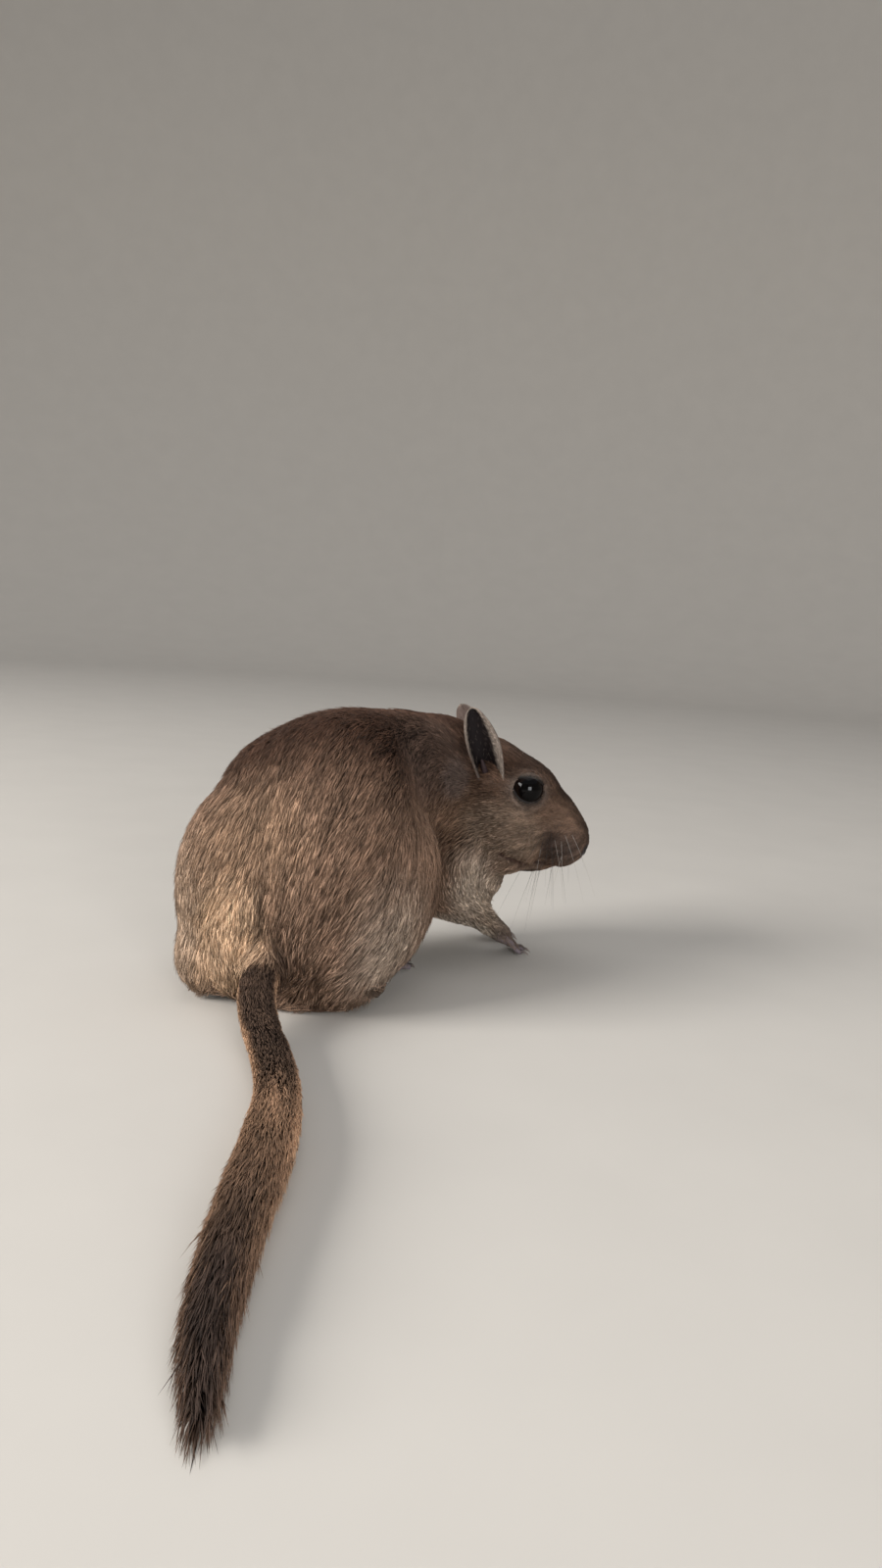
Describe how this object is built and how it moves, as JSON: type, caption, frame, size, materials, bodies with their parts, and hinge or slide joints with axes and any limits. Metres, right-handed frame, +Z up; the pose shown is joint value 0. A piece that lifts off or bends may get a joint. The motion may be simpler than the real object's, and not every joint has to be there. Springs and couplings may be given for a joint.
{
  "type": "gerbil model",
  "caption": "Life-size still model of a sitting gerbil, hunched with its head turned to its right and its tufted tail laid out behind.",
  "frame": {"origin": "the middle of the belly's flat on the floor, under the hips' front", "axes": "+X forward from the tail over the hips, +Y to the animal's left, +Z up; the head is turned to -Y"},
  "size_m": [0.1627, 0.076, 0.0502],
  "materials": {
    "fur": "dense short fur, sandy brown ticked with black, in life; here the solid's own colour",
    "ear_skin": "thin, sparsely haired ear skin, dark inside",
    "foot_skin": "bare and finely furred skin of the feet, greyish pink",
    "eye": "wet, glossy black eye"
  },
  "bodies": {
    "root": {"torso": "fur", "neck": "fur", "head": "fur", "thigh_left": "fur", "thigh_right": "fur", "foreleg_left": "fur", "foreleg_right": "fur", "tail_base": "fur", "tail_middle": "fur", "tail_end": "fur", "ear_left": "ear_skin", "ear_right": "ear_skin", "eye_left": "eye", "eye_right": "eye", "forefoot_left": "foot_skin", "forefoot_right": "foot_skin", "hindfoot_left": "foot_skin", "hindfoot_right": "foot_skin"}
  },
  "joints": []
}
